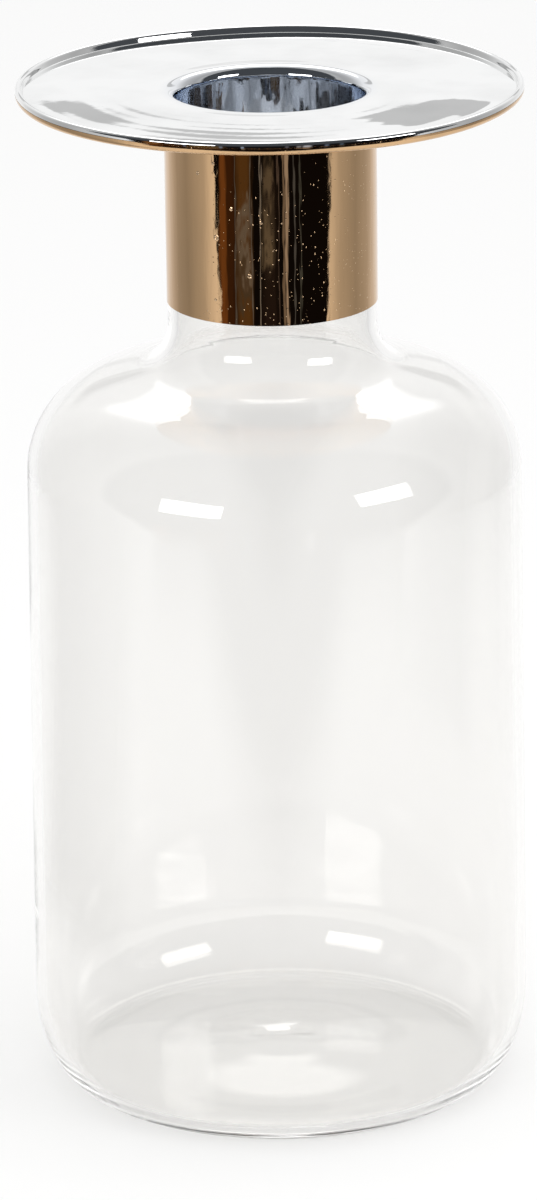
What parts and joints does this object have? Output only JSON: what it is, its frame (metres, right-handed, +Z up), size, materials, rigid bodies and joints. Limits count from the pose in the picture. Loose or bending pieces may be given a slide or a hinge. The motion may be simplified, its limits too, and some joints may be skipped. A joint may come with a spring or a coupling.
{
  "type": "bottle vase",
  "caption": "Clear blown-glass bottle vase with a rounded shoulder, a straight mirrored neck and a wide flat brim, for holding stems in water.",
  "frame": {"origin": "centre of the foot, on the plane the vase stands on", "axes": "+Z up along the axis of the bottle; X and Y are alike, because the vase is round"},
  "size_m": [0.1522, 0.1522, 0.3118],
  "materials": {
    "clear_glass": "polished",
    "silver_mirror": "polished",
    "copper_mirror": "polished"
  },
  "bodies": {
    "root": {"glass_bottle": "clear_glass", "silver_coat": "silver_mirror", "copper_coat": "copper_mirror"}
  },
  "joints": []
}
